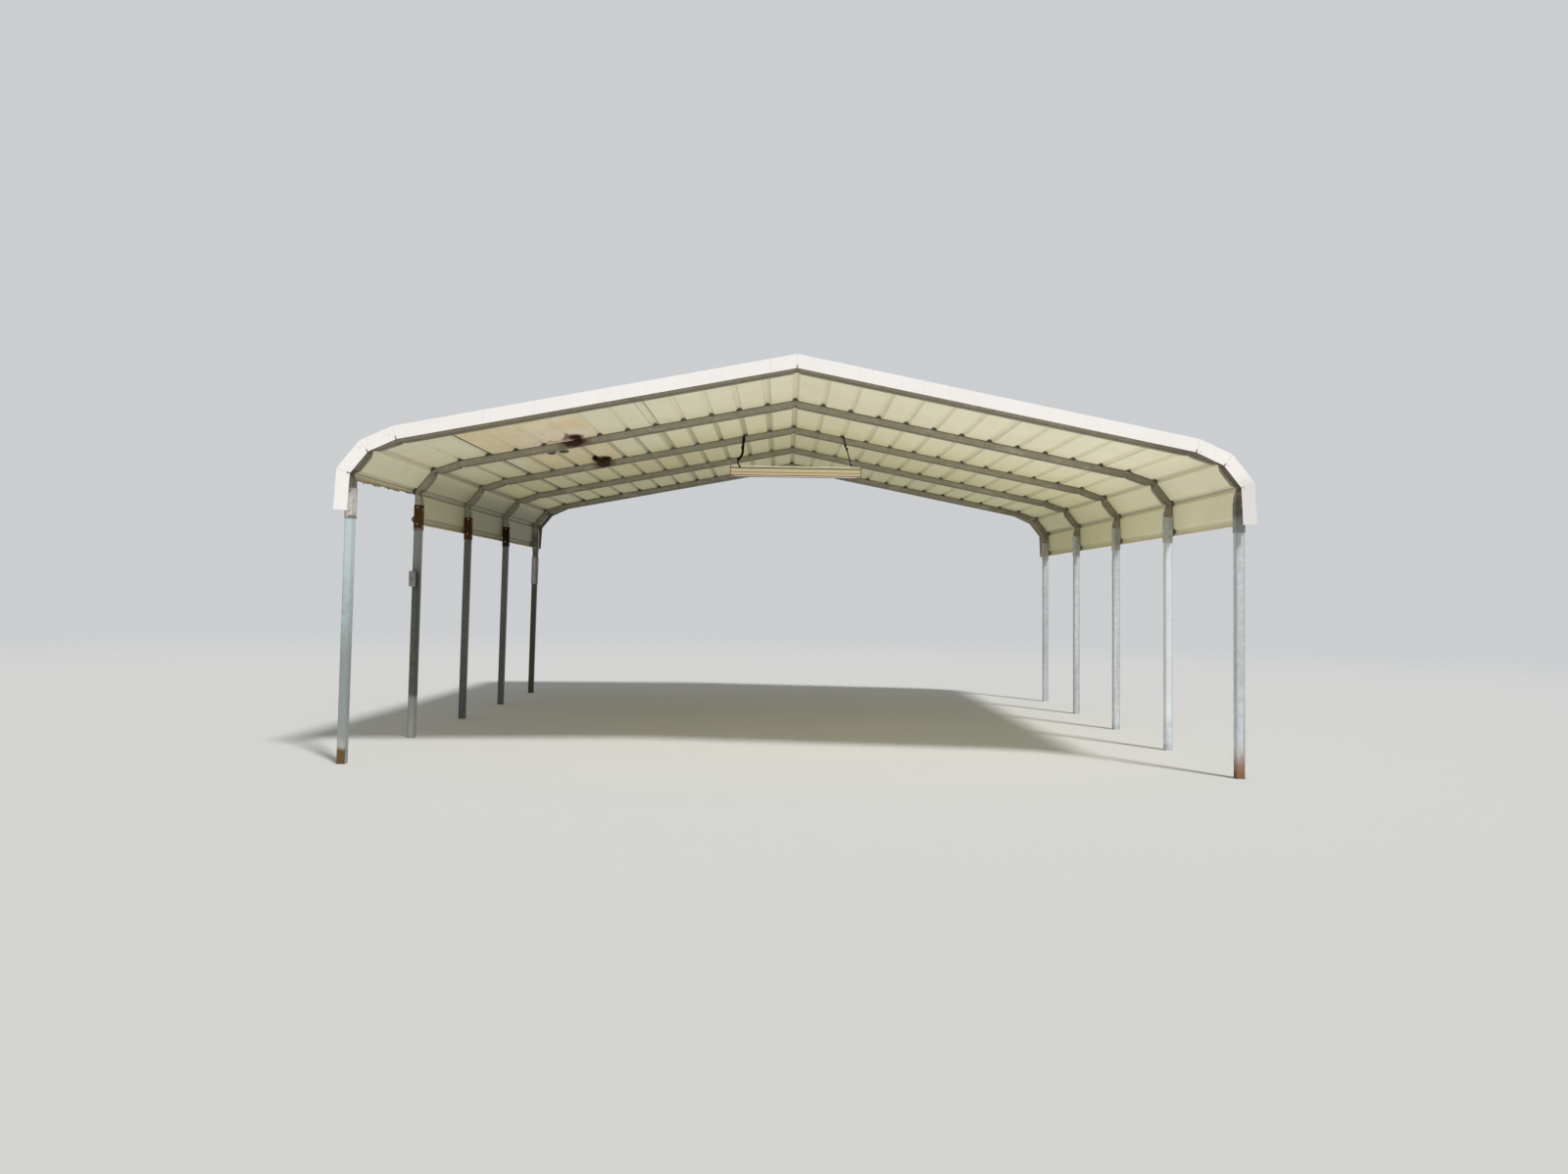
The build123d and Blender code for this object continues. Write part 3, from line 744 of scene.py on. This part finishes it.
screws = {
    "besideRib": 0.047,
    "panDrift": 0.006,
    "tornBows": 2,  # bows without a screw in the torn skirt
    "lapRibs": range(-13, 12, 4),
    "stitches": (-2.9, 3, 0.508),  # from, up to, step
    "stitchDrift": 0.01,
    "bowGap": 0.1,
    "flangeRibs": [rib for rib in range(-12, 13, 2) if rib],
    "flangeRise": 0.0217,
    "flangeY": 3.182,
    "bendShift": 0.02,
    "sleeveSides": (1.858, 1.722),  # heights
    "sleeveInside": (1.84, 1.705),
    "sleeveHalf": 0.0318,
    "sleeveWall": 0.0032,
    "sleeveDrift": 0.004,
}


def panSpots(turn, bowNumber):
    drift = screws["panDrift"]
    for rib in range(-roof["lastRib"] + (bowNumber < screws["tornBows"]), roof["lastRib"] + 1):
        beside = screws["besideRib"] * (-1 if abs(rib) >= roof["bends"][-1] else 1)
        distance = copysign(abs(rib) * roof["ribPitch"] + beside, rib)
        yield roofPlace(distance, roof["sheet"], roof["bows"][bowNumber] + turn.uniform(-drift, drift))


def stitchSpots(turn):
    drift = screws["stitchDrift"]
    rise = roof["ribRise"] + 2 * roof["sheet"]
    for rib in screws["lapRibs"]:
        y, stop, step = screws["stitches"]
        while y < stop:
            if min(abs(y - bowY) for bowY in roof["bows"]) > screws["bowGap"]:
                yield roofPlace(rib * roof["ribPitch"], rise, y + turn.uniform(-drift, drift))
            y += step


def flangeSpots(turn):
    for end in (-1, 1):
        for rib in screws["flangeRibs"]:
            shift = copysign(screws["bendShift"], rib) * (abs(rib) == roof["bends"][1])
            yield roofPlace(rib * roof["ribPitch"] - shift, screws["flangeRise"], end * screws["flangeY"])


def sleeveSpots(turn):
    drift = screws["sleeveDrift"]
    for sign in (-1, 1):
        for bowY in roof["bows"]:
            for height in screws["sleeveSides"]:
                middle = sign * (legOutside(height) - roof["tube"] / 2)
                for face in (-1, 1):
                    x = middle + turn.uniform(-drift, drift)
                    yield (x, bowY + face * screws["sleeveHalf"], height), (0, face, 0)
            for height in screws["sleeveInside"]:
                inner = sign * (legOutside(height) - roof["tube"] - screws["sleeveWall"])
                yield (inner, bowY, height), (-sign, 0, -sin(roof["legLean"]))


# Flat screws in the face of the trim, at its creases and by the ends of the peak piece
trimRivets = {
    "front": [(-2.724, 2.223), (-2.919, 2.135), (-3.001, 1.963), (2.706, 2.199), (2.894, 2.11), (3.004, 1.954),
              (-0.461, 2.634), (0.444, 2.648)],
    "rear": [(-2.72, 2.21), (-2.91, 2.12), (-3, 1.96), (2.71, 2.21), (2.9, 2.12), (3, 1.96),
             (-0.46, 2.64), (0.45, 2.64)],
    "face": 3.2009,
    "peakFace": 3.2012,
    "peakHalf": 0.508,
    "squash": (0.9, 0.9, 0.1),
}


def rivetSpots(turn):
    for end, spots in ((-1, trimRivets["front"]), (1, trimRivets["rear"])):
        for x, z in spots:
            face = trimRivets["peakFace" if abs(x) < trimRivets["peakHalf"] else "face"]
            yield (x, end * face, z), (0, end, 0)


screw = makeScrew()
turn = random.Random(4)
for bowNumber in range(len(roof["bows"])):
    drive(f"roofScrews_{bowNumber + 1}", turn, panSpots(turn, bowNumber), "roof_sheet", "screwPaint", "rubber")
for name, seed, spots, *looks in (("stitchScrews", 5, stitchSpots, "roof_sheet", "screwPaint", "rubber"),
                                  ("flangeScrews", 6, flangeSpots, "white_trim", "screwPaint", "rubber"),
                                  ("sleeveScrews", 7, sleeveSpots, "zinc_sleeve", "screwZinc", "screwZinc"),
                                  ("trimRivets", 8, rivetSpots, "white_trim", "screwZinc", "rubber")):
    turn = random.Random(seed)
    drive(name, turn, spots(turn), *looks, squash=trimRivets["squash"] if name == "trimRivets" else (1, 1, 1))
print("screws driven")


# Soft curves through a few points, and tubes along them
def curveThrough(points, step):
    points = [Vector(point) for point in points]
    points = [points[0] * 2 - points[1]] + points + [points[-1] * 2 - points[-2]]
    line = []
    for a, b, c, d in zip(points, points[1:], points[2:], points[3:]):
        count = max(2, int((c - b).length / step))
        for part in range(count):
            t = part / count
            bend = (2 * a - 5 * b + 4 * c - d) * t * t + (3 * b - a - 3 * c + d) * t ** 3
            line.append(0.5 * ((2 * b) + (c - a) * t + bend))
    line.append(points[-2])
    return line


def addTube(mesh, line, radius, sides, paint=0, strand=0, strands=1, twist=0, taper=None):
    side = Vector((0, 1, 0))
    rings = []
    run = 0
    for place, point in enumerate(line):
        before, after = line[max(place - 1, 0)], line[min(place + 1, len(line) - 1)]
        along = (after - before).normalized()
        side = (side - along * side.dot(along)).normalized()
        other = along.cross(side)
        run += (point - before).length
        centre = point
        thin = radius * (taper(place / (len(line) - 1)) if taper else 1)
        if strands > 1:
            angle = 2 * pi * (strand / strands + run / twist)
            centre = point + (side * cos(angle) + other * sin(angle)) * radius
        rings.append([mesh.verts.new(centre + (side * cos(a) + other * sin(a)) * thin)
                      for a in (2 * pi * corner / sides for corner in range(sides))])
    skin(mesh, rings, closed=True, paint=paint)
    for ring, order in ((rings[0], -1), (rings[-1], 1)):
        mesh.faces.new(ring[::order]).material_index = paint


# Cords that hold the light: each goes over the middle bow and both legs run on down to the light
rope = {"strands": 3, "sides": 7, "step": 0.0035, "strandShare": 0.54, "twist": 7}
hangers = {
    "left": {
        "radius": 0.0068,
        "loop": [(-0.472, 0.03, 2.612), (-0.467, 0.0375, 2.65), (-0.464, 0.0362, 2.676), (-0.463, 0, 2.6885),
                 (-0.463, -0.0362, 2.681), (-0.468, -0.0385, 2.655), (-0.474, -0.036, 2.612)],
        "drop": [(-0.477, -0.03, 2.57), (-0.483, -0.034, 2.508), (-0.514, -0.046, 2.458),
                 (-0.514, -0.052, 2.425), (-0.499, -0.056, 2.396), (-0.491, -0.0545, 2.38)],
        "hook": [(0, 0, 0), (0.002, -0.002, -0.008), (0.004, 0.004, -0.012), (0.004, 0.01, -0.006)],
        "doubled": True,
    },
    "right": {
        "radius": 0.0056,
        "loop": [(0.48, 0.03, 2.612), (0.47, 0.0375, 2.65), (0.463, 0.0355, 2.679), (0.459, 0, 2.6895),
                 (0.46, -0.0355, 2.682), (0.47, -0.038, 2.655), (0.484, -0.03, 2.612), (0.494, -0.008, 2.58)],
        "drop": [(0.497, -0.006, 2.57), (0.524, -0.006, 2.482), (0.532, -0.004, 2.448), (0.545, 0, 2.42),
                 (0.548, 0, 2.4075)],
        "hook": [(0, 0, 0), (0, 0.004, -0.003), (0, 0.014, -0.003), (0, 0.018, -0.0015)],
    },
}


def addRope(mesh, points, radius):
    line, strands = curveThrough(points, rope["step"]), rope["strands"]
    for strand in range(strands):
        addTube(mesh, line, radius * rope["strandShare"], rope["sides"], 0, strand, strands, radius * rope["twist"])


def coil(mesh, centre, reach, height, turns, radius):
    ring = []
    for share in (step / (turns * 10) for step in range(turns * 10 + 1)):
        angle = 2 * pi * turns * share
        ring.append(centre + Vector((reach * cos(angle), reach * sin(angle), height * (0.5 - share))))
    addRope(mesh, ring, radius)


def tieHanger(side, radius, loop, drop, hook, doubled=False):
    loop, drop, hook = ([Vector(point) for point in points] for points in (loop, drop, hook))
    mesh = bmesh.new()
    addRope(mesh, [drop[0] + Vector((0.004, 0.01, 0.004))] + loop + drop, radius)
    coil(mesh, drop[0] + Vector((0.001, 0.003, 0.004)), radius * 1.25, 0.02, 3, radius * 0.7)
    if doubled:  # down to its bend
        double = [point + Vector((0.011, 0.003, 0)) for point in loop[-2:] + drop[:3]]
        addRope(mesh, double + [drop[2] + Vector((0.002, -0.008, -0.006))], radius)
        coil(mesh, drop[2] + Vector((0.002, 0, 0.002)), radius * 1.3, 0.022, 4, radius * 0.8)
        coil(mesh, loop[-2] + Vector((0.004, -0.002, 0.01)), radius * 0.9, 0.016, 3, radius * 0.7)
    addTube(mesh, curveThrough([drop[-1] + point for point in hook], 0.002), 0.0018, 8, 1)
    piece = addPiece(f"hangerCord_{side}", mesh, "hanger_cord", "cord", "screwZinc", smooth=60)
    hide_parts(f"hanger_{side}")


# A second sleeve, lower on the rear post on the left
lowSleeve = {
    "bottom": 1.29,
    "top": 1.612,
    "inner": 0.029,  # half of its bore
    "bore": 0.0005,  # from its ends to where the bore starts
    "corner": 0.009,
    "flat": 0.021,  # least half width left between two corners
    "rim": [(0, 0.031), (0.0015, 0.0335), (0.005, 0.035), (0.01, 0.0352)],
}


def squareRing(mesh, half, corner, place):
    ring = []
    for quarter, (signX, signY) in enumerate(((1, 1), (-1, 1), (-1, -1), (1, -1))):
        for angle in (pi / 2 * (quarter + part / 5) for part in range(6)):
            x = signX * (half - corner) + corner * cos(angle)
            y = signY * (half - corner) + corner * sin(angle)
            ring.append(mesh.verts.new(place + Vector((x, y, x * legSlope))))
    return ring


def makeLowSleeve(bottom, top, inner, bore, corner, flat, rim):
    mesh = bmesh.new()
    rim = [(bore, inner)] + rim
    rings = []
    for height, half in [(bottom + up, half) for up, half in rim] + [(top - up, half) for up, half in rim[::-1]]:
        middle = Vector((-(legOutside(height) - roof["tube"] / 2), roof["bows"][-1], height))
        rings.append(squareRing(mesh, half, min(corner, half - flat), middle))
    skin(mesh, rings + rings[:1], closed=True)
    bmesh.ops.recalc_face_normals(mesh, faces=mesh.faces)
    addPiece("lowSleeve", mesh, "zinc_sleeve", "sleeve_low", smooth=30)


# Clumps of mud and dry stalks where the two leaks drip in front of the bows: middle, reach, seed, stalks, paint
clumps = [
    ((-1.742, -1.7, 2.428), (0.036, 0.085, 0.016), 3, 26, "redMud"),
    ((-1.738, -1.6, 2.414), (0.02, 0.03, 0.02), 8, 14, "mud"),
    ((-1.812, -1.6, 2.407), (0.044, 0.03, 0.011), 9, 14, "mud"),
    ((-1.722, -0.2, 2.428), (0.038, 0.11, 0.02), 5, 26, "mud"),
    ((-1.8, -0.26, 2.414), (0.03, 0.11, 0.02), 6, 20, "mud"),
    ((-1.762, -0.12, 2.416), (0.034, 0.06, 0.012), 7, 16, "mud"),
]


def underSheet(x):
    return roof["ridge"] - abs(x) * tan(roof["falls"][0])


def makeClump(name, middle, reach, seed, stalks, paint):
    def inside(way, share):
        return Vector(middle) + Vector((way[axis] * reach[axis] * share for axis in range(3)))

    def draw(*spans):
        return Vector([turn.uniform(low, high) for low, high in spans])

    turn = random.Random(seed)
    mesh = bmesh.new()
    bmesh.ops.create_icosphere(mesh, subdivisions=5, radius=1)
    start = Vector((seed * 3.7, 1.3, 0.4))
    for vert in mesh.verts:
        way = vert.co.copy()
        lumps = noise.fractal(way * 2.2 + start, 0.9, 2, 5) * 0.6 + abs(noise.noise(way * 6 + start)) * 0.4
        size = max(0.35, 0.8 + lumps)
        place = inside(way, size)
        place.z = min(place.z, underSheet(place.x) + 0.0004 - 0.0002 * size)
        vert.co = place
    for _ in range(stalks):
        angle, low = turn.uniform(0, 2 * pi), turn.uniform(-0.9, 0.2)
        flat = sqrt(1 - low * low)
        way = Vector((cos(angle) * flat, sin(angle) * flat, low))
        root = inside(way, 0.75)
        lean = (way + draw((-0.8, 0.8), (-0.8, 0.4), (-0.5, 0.2))).normalized()
        length = turn.uniform(0.018, 0.055)
        bent = root + lean * length * 0.5 + draw((-1, 1), (-1, 1), (-1, 0.3)) * length * 0.12
        tip = root + lean * length
        for point in (bent, tip):
            point.z = min(point.z, underSheet(point.x) - 0.001)
        line = curveThrough([root, bent, tip], length / 5)
        addTube(mesh, line, turn.uniform(0.0007, 0.0016), 5, 1, taper=lambda share: 1 - 0.7 * share)
    addPiece(name, mesh, "roof_sheet", paint, "straw", smooth=50)


# Flaps of paint that curl off the sheet beside the first leak: x, y, width, drop, twist
flaps = {
    "places": [(-1.838, -1.7, 0.04, 0.03, 0.5), (-1.806, -1.69, 0.05, 0.034, 0.2), (-1.776, -1.64, 0.034, 0.024, -0.4),
               (-1.905, -1.64, 0.046, 0.02, 0.3),
               (-1.945, -1.69, 0.04, 0.016, -0.3), (-1.975, -1.64, 0.03, 0.014, 0.6)],
    "steps": 10,
    "thick": 0.0007,
}


def makeFlaps(places, steps, thick):
    mesh = bmesh.new()
    for x, y, width, drop, twist in places:
        rows = []
        for share in (down / steps for down in range(steps + 1)):
            rows.append([])
            for side in (across / steps - 0.5 for across in range(steps + 1)):
                wave = noise.noise(Vector((x * 40 + side * 3, y * 9, share * 2))) * 0.006
                uneven = 0.75 + 0.5 * noise.noise(Vector((x * 30 + side * 5, 2, 1)))
                px = x + width * (1 - 0.45 * share * share) * side + twist * share * 0.012
                py = y - 0.03 * (share - share * share * 0.7) + wave * share + twist * side * 0.02 * share
                pz = underSheet(px) - 0.0006 - drop * sin(share * 1.7) * uneven
                rows[-1].append(mesh.verts.new((px, py, pz)))
        skin(mesh, rows)
    thicken(addPiece("paintFlaps", mesh, "roof_sheet", "flap", smooth=50), thick)


# Torn lip of the left skirt, from the front end to the second bow
tear = {
    "front": -3.2004,
    "stop": -1.524,
    "drops": (0.046, 0.04, 0.043, 0.035, 0.038, 0.029, 0.033, 0.025, 0.02, 0.023),
    "teeth": 170,
    "thick": 0.0009,
    "ribFoot": 0.028,  # from the eave bend down to the foot of its rib
    "shares": (-0.5, 0, 0.35, 0.7, 1),
}


def makeTornLip(front, stop, drops, teeth, thick, ribFoot, shares):
    turn = random.Random(12)
    mesh = bmesh.new()
    rows = []
    for tooth in range(teeth + 1):
        y = front + 0.004 + (stop - front - 0.01) * tooth / teeth
        share = (y - front) / (stop - front) * (len(drops) - 1)
        step = min(int(share), len(drops) - 2)
        drop = drops[step] + (drops[step + 1] - drops[step]) * (share - step)
        hang = 0.002 + 0.01 * abs(sin(tooth * 0.41) * sin(tooth * 0.13 + 1)) + turn.uniform(0, 0.007)
        curl = turn.uniform(-0.3, 1) * hang * 0.8
        rows.append([])
        for share in shares:
            down = drop + (hang if share > 0 else 0.008) * share
            along = down / sin(roof["falls"][-1])
            rise = max(0, min(roof["ribRise"], ribFoot - along)) + 0.001 + curl * max(share, 0) ** 2
            rows[-1].append(mesh.verts.new(roofPlace(-(eave + down), rise, y)[0]))
    skin(mesh, rows)
    bmesh.ops.recalc_face_normals(mesh, faces=mesh.faces)
    thicken(addPiece("tornLip", mesh, "roof_sheet", "tornEdge"), thick)


# Shop light: caps and holders of the two lamps, screws, lips and knockouts
light = {
    "capLength": 0.02,
    "capRadius": 0.0134,
    "capRim": [(0, 1), (0.7, 1), (0.85, 0.97), (0.95, 0.88), (1, 0.6)],
    "collar": 0.0015,
    "half": 0.072,  # half width of the reflector
    "lip": 0.0022,  # radius
    "lipSteps": 60,
    "knockouts": (-0.45, -0.15, 0.15, 0.45),
    "knockoutY": 0.012,
    "endScrews": [(0.03, 1, -0.012), (0.055, 0, 0.024)],  # y, from the lid or from the bottom, up
    "coverScrews": (-0.35, 0.38),
    "coverHeight": 2.3372,
    "holder": (0.0142, 0.036, 0.013),  # from the ends, sideways, over the bottom of a lamp
    "holderRadius": 0.0155,
    "holderSteps": (0, 0.002, 0.0035),
}


def fitLight(capLength, capRadius, capRim, collar, half, lip, lipSteps, knockouts, knockoutY, endScrews, coverScrews,
             coverHeight, holder, holderRadius, holderSteps):
    def cap(share):
        return capRim[round(share * (len(capRim) - 1))][1]

    low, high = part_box("light_housing")
    mesh = bmesh.new()
    for start, stop in map(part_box, ("lamp_front", "lamp_rear")):
        middle = (start + stop) / 2
        for end, edge in ((-1, start.x), (1, stop.x)):
            foot = edge - end * capLength
            for run, radius, taper in (([end * capLength * share for share, _ in capRim], capRadius, cap),
                                       ([0, -end * collar], capRadius * 1.03, None)):
                line = [Vector((foot + step, middle.y, middle.z)) for step in run]
                addTube(mesh, line, radius, 20, taper=taper)
    addPiece("lampCaps", mesh, "light_enamel", "screwZinc", smooth=40)

    mesh = bmesh.new()
    for side in (-1, 1):  # rolled lips along the reflector
        start, run = low.x + 0.001, high.x - low.x - 0.002
        line = [Vector((start + run * step / lipSteps, side * (half - lip), low.z + lip + 0.0001))
                for step in range(lipSteps + 1)]
        addTube(mesh, line, lip, 10)
    addPiece("lightLips", mesh, "light_enamel", "light_enamel", smooth=40)

    mesh = bmesh.new()
    for place in knockouts:
        middle = ((low.x + high.x) / 2 + place, knockoutY, high.z + 0.0002)
        bmesh.ops.create_cone(mesh, cap_ends=True, segments=28, radius1=0.011, radius2=0.0102, depth=0.0012,
                              matrix=Matrix.Translation(middle))
    addPiece("lightKnockouts", mesh, "light_enamel", "light_enamel", smooth=30)

    places = [standing((x, side * y, (low.z, high.z)[top] + up), (end, 0, 0), side * y, (0.7, 0.7, 0.6))
              for end, x in ((-1, low.x), (1, high.x)) for y, top, up in endScrews for side in (-1, 1)]
    places += [standing((x, 0, coverHeight), (0, 0, -1), x, (0.8, 0.8, 0.9)) for x in coverScrews]
    scatter("lightScrews", screw, places, "light_enamel", "screwZinc", "screwZinc")

    mesh = bmesh.new()
    inset, sideways, up = holder
    for y in (-sideways, sideways):
        for end, x in ((-1, low.x + inset), (1, high.x - inset)):
            line = [Vector((x - end * step, y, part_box("lamp_front")[0].z + up)) for step in holderSteps]
            addTube(mesh, line, holderRadius, 24, taper=lambda share: 1 - 0.15 * share)
    addPiece("lampHolders", mesh, "light_enamel", "holder", smooth=40)


# Outlet box: a rounded body, a gasket and a cover with two lids, from the back to the front
outlet = {
    "corner": 0.006,
    "body": (0.048, 0.043, 0.12),
    "gasket": (0.049, 0.0014, 0.121),
    "cover": (0.054, 0.004, 0.126),
    "lid": (0.037, 0.003, 0.043),
    "lidCorner": 0.004,
    "lidDrops": (0.03, -0.03),
    # hinge and latch of a lid: half length, up from its middle, ahead, radius, steps, sides, paint
    "bars": [(0.0165, 0.0225, 0.0005, 0.0022, 10, 10, 0), (0.006, -0.0215, 0.0008, 0.0014, 4, 8, 1)],
    "screwHeights": (-0.056, 0, 0.056),
    "screwSquash": (0.55, 0.55, 0.35),
}


def roundedBlock(mesh, size, corner, place, paint, soften=0.0012):
    start = len(mesh.verts)
    made = bmesh.ops.create_cube(mesh, size=1, matrix=Matrix.Translation(place) @ Matrix.Diagonal((*size, 1)))
    edges = {edge for vert in made["verts"] for edge in vert.link_edges}
    upright = [edge for edge in edges if abs((edge.verts[0].co - edge.verts[1].co).normalized().y) > 0.9]
    bevel(mesh, upright, corner, 5, paint)
    mesh.verts.ensure_lookup_table()
    verts = mesh.verts[start:]
    for face in {face for vert in verts for face in vert.link_faces}:
        face.material_index = paint
    rims = [edge for edge in {edge for vert in verts for edge in vert.link_edges}
            if edge.is_manifold and edge.calc_face_angle(0) > radians(50)]
    bevel(mesh, rims, soften, 2, paint)


def makeOutlet(corner, body, gasket, cover, lid, lidCorner, lidDrops, bars, screwHeights, screwSquash):
    low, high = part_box("outlet_box")
    x, _, z = (low + high) / 2
    front = high.y - body[1]
    mesh = bmesh.new()
    roundedBlock(mesh, body, corner, (x, front + body[1] / 2, z), 0, 0.0015)
    roundedBlock(mesh, gasket, corner, (x, front - gasket[1] / 2, z), 2, 0.0003)
    front -= gasket[1] + cover[1]
    roundedBlock(mesh, cover, corner, (x, front + cover[1] / 2, z), 0)
    for drop in lidDrops:
        roundedBlock(mesh, lid, lidCorner, (x, front - 0.0003, z + drop), 1)
        for half, up, ahead, radius, steps, sides, paint in bars:
            line = [Vector((x - half + 2 * half * step / steps, front - ahead, z + drop + up))
                    for step in range(steps + 1)]
            addTube(mesh, line, radius, sides, paint)
    hub = [Vector((x, high.y - body[1] / 2, low.z + 0.008 - 0.002 * step)) for step in range(5)]
    addTube(mesh, hub, 0.013, 24)
    piece = addPiece("outletCover", mesh, "outlet_box", "outlet", "outletPale", "rubber", smooth=35)
    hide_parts("outlet_box")
    places = [standing((x, front, z + up), (0, -1, 0), up, screwSquash) for up in screwHeights]
    scatter("outletScrews", screw, places, "outlet_box", "screwZinc", "screwZinc")


for side, look in hangers.items():
    tieHanger(side, **look)
makeLowSleeve(**lowSleeve)
for number, clump in enumerate(clumps):
    makeClump(f"clump_{number + 1}", *clump)
makeFlaps(**flaps)
makeTornLip(**tear)
fitLight(**light)
makeOutlet(**outlet)
print("details made")
